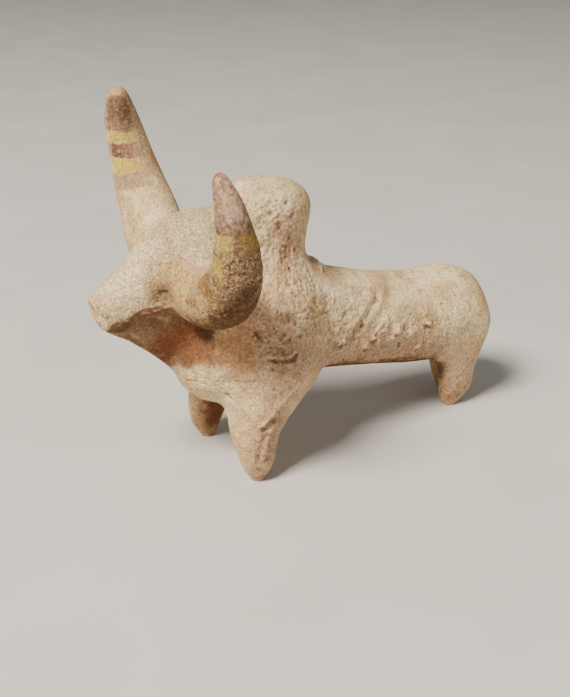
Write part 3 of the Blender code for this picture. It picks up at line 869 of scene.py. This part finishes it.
def store_paint(clay):
    """Where each colour lies on the figurine, for the finish to read."""
    points, outward = clay.points, clay.outward
    sideways, height = points[:, 0] / CAD_HIGH.x, points[:, 2] / CAD_HIGH.z
    jaw_height = np.interp(points[:, 1] / CAD_HIGH.y, JAW_SHADE_BACK, JAW_SHADE_UP)
    below_edge = np.clip((jaw_height - height) * CAD_HIGH.z / JAW_SHADE_SOFT + 0.5, 0, 1)
    # Painted shade on the belly, the stronger where the skin faces down: brown, orange and tan over the clay.
    belly = clay.patch(BELLY, BELLY_REACH * MM) * (0.3 + 0.9 * np.clip(-outward[:, 2], 0, 1))
    pits = [clay.patch([spot], PIT_STAIN) for spot in SHOULDER_PITS + FLANK_PITS]
    pits += [clay.patch([spot], HUMP_PIT_STAIN) for spot in HUMP_PITS]
    shaped = {
        "brown": cover(clay.patches(UNDER_JAW_SHADE) * below_edge, 0.85 * belly),
        "orange": belly,
        "tan": 0.6 * belly,
        "dirt": 0.85 * cover(*pits),
    }
    for colour, places in PAINT.items():
        clay.paint(colour, np.maximum(clay.patches(places), shaped.get(colour, 0.0)))
    on_horn = np.clip(2 * height - 1, 0, 1)
    clay.paint("left_horn", on_horn * np.clip((sideways - 0.62) / 0.1, 0, 1))
    clay.paint("horn_crust", np.clip((sideways - 0.56) / 0.26, 0, 1))
    clay.paint("right_horn", on_horn * (sideways < -0.5))
    clay.paint("front", 0.5 + 0.5 * outward @ PAINTED_SIDE)


def store_hollows(clay):
    """How hollow or proud the skin is against its own mean, at the scale of the crumbs, for painted shade in
    the hollows and a painted highlight on the proud spots.
    """
    mean = clay.points
    for _ in range(HOLLOW_REACH):
        mean = clay.mean_of_neighbours(mean)
    depth = clay.mean_of_neighbours(((mean - clay.points) * clay.outward).sum(1, keepdims=True))
    form = depth
    for _ in range(4 * HOLLOW_REACH):
        form = clay.mean_of_neighbours(form)
    tips = np.ones(len(clay.points))
    for side in (-1, 1):
        tip = clay.points[np.argmax(clay.points[:, 2] * (side * clay.points[:, 0] > 0))]
        tips *= np.clip(np.linalg.norm(clay.points - tip, axis=1) / TIP_REACH - 1, 0, 1)
    clay.paint("hollow", 0.5 + tips * (depth - form)[:, 0] / HOLLOW_DEPTH)


class Finish(Sums):
    """A node material: what the clay stores, grains at their real size, and colours laid on them."""

    def __init__(self, name, ground):
        self.colour = ground
        self.material = bpy.data.materials.new(name)
        self.material.use_nodes = True
        super().__init__(self.material.node_tree)
        self.shader = self.tree.nodes["Principled BSDF"]
        self.here = self.field("ShaderNodeTexCoord", output="Object")

    def give(self, name, field):
        """Gives the shader a field as one of its inputs."""
        self.tree.links.new(field.socket, self.shader.inputs[name])

    def stored(self, name):
        return self.field("ShaderNodeAttribute", output="Fac", attribute_name=name)

    def grain(self, size, detail=2.0, roughness=0.5, distortion=0.0, stretch=(1, 1, 1)):
        here = self.field("ShaderNodeMapping", {"Vector": self.here, "Scale": stretch})
        inputs = {"Vector": here, "Scale": 1 / size, "Detail": detail}
        inputs |= {"Roughness": roughness, "Distortion": distortion}
        return self.field("ShaderNodeTexNoise", inputs)

    def grit(self, size, what="Distance"):
        """Scattered grains: the distance to the nearest one, or its own colour."""
        return self.field("ShaderNodeTexVoronoi", {"Vector": self.here, "Scale": 1 / size}, what)

    def torn(self, name, grain, tear, soft):
        """What is stored under a name, with a ragged edge: a grain pushes it about before it is cut."""
        return between(self.stored(name) + (grain - 0.5) * tear, 0.5 - soft, 0.5 + soft)

    def blend(self, first, second, share, how="MIX"):
        inputs = {0: share, 6: first, 7: second}
        return self.field("ShaderNodeMix", inputs, 2, data_type="RGBA", blend_type=how)

    def lay(self, tone, share, how="MIX"):
        """Lays a tone over the colour so far."""
        self.colour = self.blend(self.colour, tone, share, how)

    def trace(self, tone, name, grain, tear, soft, strength):
        """Lays a tone over the torn patch that is stored under a name."""
        self.lay(tone, self.torn(name, grain, tear, soft) * strength)


def band(height, low, high, soft=0.008):
    """1 between two heights."""
    return between(height, low - soft, low + soft) * between(height, high - soft, high + soft, 1.0, 0.0)


def bare_clay(finish):
    """The clay without paint: cream and buff, pinkish where it lost its crust, a painted highlight on the
    nose and the flank, and tan, orange and brown, which are painted shade under the jaw, the throat, the
    belly and the legs.
    """
    drift = finish.grain(8 * MM, 3.0)
    mottle = finish.grain(2.2 * MM, 4.0, 0.62)
    fine = finish.grain(0.8 * MM, 4.0, 0.7)
    finish.lay(CREAM, between(drift, 0.36, 0.6))
    finish.lay(DUSTY_BUFF, between(mottle, 0.48, 0.72, 0.0, 0.62))
    finish.lay(GREY_DUST, between(finish.stored("grey") + mottle, 0.7, 1.2) * 0.4)
    # A painted highlight on the nose and on the front of the flank.
    finish.trace(HIGHLIGHT_CREAM, "pale", mottle, 0.6, 0.38, 0.65)
    finish.trace(DUSTY_BUFF, "dusty", mottle, 0.8, 0.3, 0.65)
    finish.lay(PINK_CLAY, between(finish.stored("pink") + mottle, 0.55, 1.25) * 0.72)
    finish.trace(LOST_CRUST, "lost", fine, 1.0, 0.25, 0.45)
    # The clay's own tan, orange and brown, which under the jaw, the throat, the belly and the legs are
    # painted shade.
    finish.trace(TAN_CLAY_AND_SHADE, "tan", mottle, 0.9, 0.38, 0.75)
    finish.trace(ORANGE_CLAY_AND_SHADE, "orange", mottle, 0.8, 0.32, 0.8)
    finish.trace(BROWN_CLAY_AND_SHADE, "brown", mottle, 0.5, 0.22, 0.85)


# The right horn's bands: where each begins and ends, from 0 at half the bull's height to 1 at
# the top of its box.
PALE_BAND = (0.44, 0.52)
LOWER_YELLOW_BAND = (0.52, 0.622)
MIDDLE_PURPLE_BAND = (0.622, 0.706)
UPPER_YELLOW_BAND = (0.706, 0.766)
TOP_PURPLE_BAND = (0.766, 1.1)
TOP_FADED_BAND = (0.766, 0.88)


def right_horn_paint(finish):
    """Bands on the side of the right horn that faces front, and bare buff behind them."""
    mottle = finish.grain(1.8 * MM, 4.0, 0.65)
    front = finish.stored("front")
    height = finish.stored("right_horn") + (mottle - 0.5) * 0.045
    worn = between(finish.grain(0.8 * MM, 4.0, 0.7), 0.5, 0.66, 1.0, 0.6)
    side = front + (mottle - 0.5) * 0.45
    height = height - (1.0 - front) * between(height, 0.5, 0.66, 0.09, 0.0)
    bare = between(side, 0.4, 0.62, 1.0, 0.0) * band(height, 0.45, 0.9, 0.1)
    finish.lay(DUSTY_BUFF, bare * 0.55)
    past_edge = side - between(height, 0.6, 0.92, 0.34, 0.03)
    face = between(past_edge, -0.05, 0.1) * between(side, 0.86, 0.99, 1.0, 0.2)
    root = between(height, 0.1, 0.4) * between(mottle, 0.3, 0.6, 0.15, 0.5)
    finish.lay(DUSTY_BUFF, root * band(height, 0.0, 0.55, 0.08))
    hue = finish.blend(MAUVE, PURPLE_BROWN, between(height, 0.77, 0.86, 0.3, 1.0))
    finish.lay(hue, band(height, *TOP_PURPLE_BAND, 0.012) * worn * face * 0.95)
    middle = band(height, *MIDDLE_PURPLE_BAND)
    faded = between(past_edge, -0.3, 0.0, 0.0, 0.55) * (1.0 - face)
    finish.lay(MAUVE, faded * most(middle, band(height, *TOP_FADED_BAND, 0.03)))
    hue = finish.blend(MAUVE, PURPLE_BROWN, between(side, 0.4, 0.7, 0.1, 0.85))
    finish.lay(hue, middle * worn * face)
    yellow = band(height, *UPPER_YELLOW_BAND) * 0.8 + band(height, *LOWER_YELLOW_BAND) * 0.95
    finish.lay(BAND_YELLOW, yellow * worn * face)
    finish.lay(PALE_PURPLE, band(height, *PALE_BAND, 0.012) * face)
    # Pale streaks at the top of the upper band: a painted highlight.
    highlight_streak = between(finish.grain(1.0 * MM, 3.0, 0.6, 0.0, (1, 1, 0.25)), 0.45, 0.6, 0.0, 0.3)
    finish.lay(PALE_PURPLE, highlight_streak * face * between(height, 0.78, 0.8))
    finish.lay(TIP_TAN, between(height, 0.955, 0.975, 0.0, 0.85))
    tip = between(height, 0.9, 0.96) * between(side, 0.2, 0.4, 0.45, 0.0)
    finish.lay(TIP_ORANGE, tip)


def left_horn_paint(finish):
    """Mauve brown with pale scrapes, two yellow patches on it, and a dark crust with threads below."""
    mottle = finish.grain(1.8 * MM, 4.0, 0.65)
    height = finish.stored("left_horn") + (mottle - 0.5) * 0.03
    front = finish.stored("front")
    threads = finish.grain(1.6 * MM, 4.0, 0.68, 1.0)
    thin = between(abs(threads - 0.48), 0.012, 0.045, 0.95, 0.0)
    threads = most(thin, between(threads, 0.58, 0.62, 0.0, 0.7))
    dark = finish.blend(PURPLE_BROWN, CRUST_DARK, between(mottle, 0.4, 0.6))
    lower = finish.blend(dark, CRUST_THREAD, threads)
    crust = finish.torn("horn_crust", mottle, 1.0, 0.35) * band(height, 0.05, 0.6, 0.06)
    finish.lay(lower, crust * 0.92)
    scrape = finish.grain(1.0 * MM, 6.0, 0.78, 0.4, (1, 1, 0.5))
    fewer = between(height, 0.54, 0.66, 0.12, 0.0)
    pale = between(scrape - fewer - between(front, 0.7, 0.92, 0.0, 0.08), 0.4, 0.58)
    upper = finish.blend(MAUVE, PURPLE_BROWN, between(mottle, 0.38, 0.62, 0.05, 0.75))
    upper = finish.blend(upper, SCRAPED_PAINT, pale * 0.75)
    finish.lay(upper, between(height, 0.45, 0.48) * 0.95)
    patches = between(height + (scrape - 0.5) * 0.16, 0.45, 0.475) * between(height, 0.546, 0.558, 1.0, 0.0)
    patches = patches * between(scrape, 0.4, 0.62, 1.0, 0.45)
    gap = abs(front + (scrape - 0.5) * 0.35 - 0.43)
    # The yellow patches are darker on the side turned from the lamp: painted shade.
    hue = finish.blend(SHADED_YELLOW, YELLOW, between(front, 0.45, 0.8))
    finish.lay(hue, patches * between(gap, 0.05, 0.14) * 0.85)
    rim = between(height, 0.74, 0.8) * between(front, 0.8, 0.95)
    finish.lay(TIP_ORANGE, most(between(height, 0.8, 0.83), rim) * 0.65)


def traces(finish):
    """Tan, yellow and ochre on the cheek, the brown of the eyes, staining and painted shade under the left
    horn and behind the jowl, dirt and two salt specks.
    """
    mottle = finish.grain(1.3 * MM, 4.0, 0.7)
    finish.trace(CHEEK_TAN, "cheek", mottle, 0.9, 0.35, 0.68)
    finish.trace(YELLOW, "yellow", mottle, 1.1, 0.25, 0.72)
    finish.trace(OCHRE, "ochre", mottle, 0.9, 0.25, 0.9)
    finish.trace(EYE_BROWN, "eye", mottle, 0.7, 0.3, 0.6)
    # Dark staining and painted shade under the left horn, on the neck and behind the jowl.
    finish.trace(STAIN_AND_SHADE, "stain_and_shade", mottle, 1.0, 0.28, 0.9)
    finish.trace(PURPLE_DIRT, "dirt", finish.grain(0.8 * MM, 3.0, 0.7), 1.0, 0.28, 0.45)
    finish.trace(SALT_WHITE, "salt", mottle, 0.5, 0.1, 1.0)


def crust_dirt_and_shade(finish):
    """Pale fibres of crust, dark grit, painted shade between the crumbs, darker pits, dirt and painted shade
    in the hollows, and a painted highlight on the high spots.
    """
    on_horn = finish.stored("horn_crust")
    fibre = between(abs(finish.grain(1.5 * MM, 3.0, 0.6, 1.4) - 0.5), 0.01, 0.1, 1.0, 0.0)
    crust = between(finish.stored("crust"), 0.1, 0.6) * between(finish.stored("brown"), 0.15, 0.5, 1.0, 0.0)
    speck = finish.grain(0.6 * MM, 4.0, 0.75)
    shade = between(speck, 0.38, 0.62, 0.5, 1.29)
    shade = finish.field("ShaderNodeCombineColor", {0: shade, 1: shade, 2: shade})
    finish.lay(shade, between(crust, 0.0, 1.0, 0.64, 0.92), "MULTIPLY")
    finish.lay(DIRT_AND_SHADE, (1.0 - fibre) * crust * 0.14)
    tinted = between(most(on_horn, finish.stored("cheek")), 0.1, 0.6)
    shown = between(finish.stored("ochre"), 0.2, 0.7, 0.42, 0.12) * between(on_horn, 0.0, 0.5, 1.0, 0.35)
    fibre = fibre * crust
    finish.lay(finish.blend(CREAM, CRUST_THREAD, tinted), fibre * shown)
    some = finish.field("ShaderNodeSeparateColor", {0: finish.grit(1.9 * MM, "Color")})
    dots = between(finish.grit(1.9 * MM), 0.1, 0.18, 1.0, 0.0) * between(some, 0.5, 0.6)
    finish.lay(DIRT_AND_SHADE, dots * 0.5)
    # Painted shade between the crumbs, where the skin is coarse, standing in for relief too fine for the
    # mesh.
    gaps = between(finish.grit(0.75 * MM), 0.4, 0.75) * between(finish.stored("coarse"), 0.15, 0.8)
    finish.lay(DIRT_AND_SHADE, gaps * 0.19)
    hollow = finish.stored("hollow")
    # Painted shade in the hollows, with dirt, and a painted highlight on the proud spots.
    finish.lay(DIRT_AND_SHADE, between(hollow, 0.6, 1.1, 0.0, 0.5))
    finish.lay(CREAM, between(hollow, 0.4, 0.0, 0.0, 0.45))
    finish.lay(DIRT_AND_SHADE, finish.stored("pit") * 0.15)
    finish.lay(DIRT_AND_SHADE, finish.stored("pinhole") * 0.22)
    return fibre, speck, crust


def worn_terracotta():
    """The whole finish. The paint on the horns is a little smoother than the clay."""
    finish = Finish("worn_painted_terracotta", BUFF)
    bare_clay(finish)
    right_horn_paint(finish)
    left_horn_paint(finish)
    traces(finish)
    fibre, speck, crust = crust_dirt_and_shade(finish)
    finish.give("Base Color", finish.colour)
    horn = most(finish.stored("right_horn"), finish.stored("left_horn"))
    finish.give("Roughness", between(horn, 0.45, 0.9, 0.92, 0.6))
    finish.shader.inputs["Specular IOR Level"].default_value = 0.18
    relief = speck * 0.7 + finish.grain(0.35 * MM, 2.0, 0.6) * 0.4
    relief = relief - finish.grit(0.55 * MM) * 0.35 + fibre * 0.45
    rougher = most(finish.stored("coarse"), crust * 0.75)
    relief = relief * between(rougher, 0.0, 0.8, 0.4, 1.0)
    bump = finish.field("ShaderNodeBump", {"Strength": 1.0, "Distance": 0.26 * MM, "Height": relief})
    finish.give("Normal", bump)
    return finish.material


def bull_clay():
    skin = skin_of(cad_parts["zebu_bull"])
    clay = Clay(skin)
    clay.rub(RUBS)
    for foot, reach, share in FEET:
        clay.taper(foot, reach, share)
    clay.stand()
    clay.fray()
    press_head_marks(clay)
    press_shoulder_marks(clay)
    press_leg_marks(clay)
    press_body_marks(clay)
    clay.rub(1)
    store_crust(clay)
    weather(skin, worn_terracotta())
    spare(skin, KEPT_FACES)
    clay = Clay(skin)
    clay.settle()
    store_paint(clay)
    store_hollows(clay)
    skin.data.shade_smooth()
    return skin


# The table's half width, and the studio: each lamp's spot, size, power and tint, and its air.
TABLE_REACH = 3.0
LAMPS = {
    "window": ((0.25, -0.7, 0.95), 0.36, 31.0, (1.0, 0.92, 0.8)),
    "side_fill": ((0.9, 0.35, 0.45), 0.8, 1.5, (0.98, 0.98, 1.0)),
}
AIR_TINT = (1.0, 0.98, 0.95, 1.0)
AIR_STRENGTH = 0.23


def floor():
    """A pale matt table, far larger than the view."""
    mesh = bpy.data.meshes.new("table")
    corners = [(x * TABLE_REACH, y * TABLE_REACH, 0) for x, y in ((-1, -1), (1, -1), (1, 1), (-1, 1))]
    mesh.from_pydata(corners, [], [(0, 1, 2, 3)])
    table = bpy.data.objects.new("table", mesh)
    bpy.context.scene.collection.objects.link(table)
    finish = Finish("pale_table", TABLE_PALE)
    finish.lay(TABLE_DULL, between(finish.grain(40 * MM), 0.3, 0.7))
    finish.give("Base Color", finish.colour)
    finish.shader.inputs["Roughness"].default_value = 0.8
    mesh.materials.append(finish.material)


def lamp(name, spot, size, power, tint):
    """A soft square lamp that looks at the middle of the bull."""
    data = bpy.data.lights.new(name, "AREA")
    data.size = size
    data.energy = power
    data.color = tint
    light = bpy.data.objects.new(name, data)
    light.location = spot
    aim = Vector((0, 0, CAD_HIGH.z / 2)) - Vector(spot)
    light.rotation_mode = "QUATERNION"
    light.rotation_quaternion = aim.to_track_quat("-Z", "Y")
    bpy.context.scene.collection.objects.link(light)


def studio():
    for name, settings in LAMPS.items():
        lamp(name, *settings)
    world = bpy.data.worlds.new("studio_air")
    world.use_nodes = True
    air = world.node_tree.nodes["Background"]
    air.inputs["Color"].default_value = AIR_TINT
    air.inputs["Strength"].default_value = AIR_STRENGTH
    bpy.context.scene.world = world


# The camera, from the photograph's own view: 23.5 degrees down, from the bull's left front.
IMAGE_HEIGHT = 697
FOCAL_PIXELS = 1100
SENSOR = 36.0
CAMERA_DOWN = 23.5
CAMERA_ROUND = 59.0
CAMERA_SPOT = (0.198038, -0.125285, 0.1253)


def camera():
    data = bpy.data.cameras.new("view")
    data.sensor_width = SENSOR
    data.lens = FOCAL_PIXELS * SENSOR / IMAGE_HEIGHT
    data.clip_start = 0.01
    view = bpy.data.objects.new("view", data)
    view.location = CAMERA_SPOT
    view.rotation_euler = (math.radians(90 - CAMERA_DOWN), 0, math.radians(CAMERA_ROUND))
    bpy.context.scene.collection.objects.link(view)
    bpy.context.scene.camera = view


bull = bull_clay()
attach(bull, "root")
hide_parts("zebu_bull")
floor()
studio()
camera()
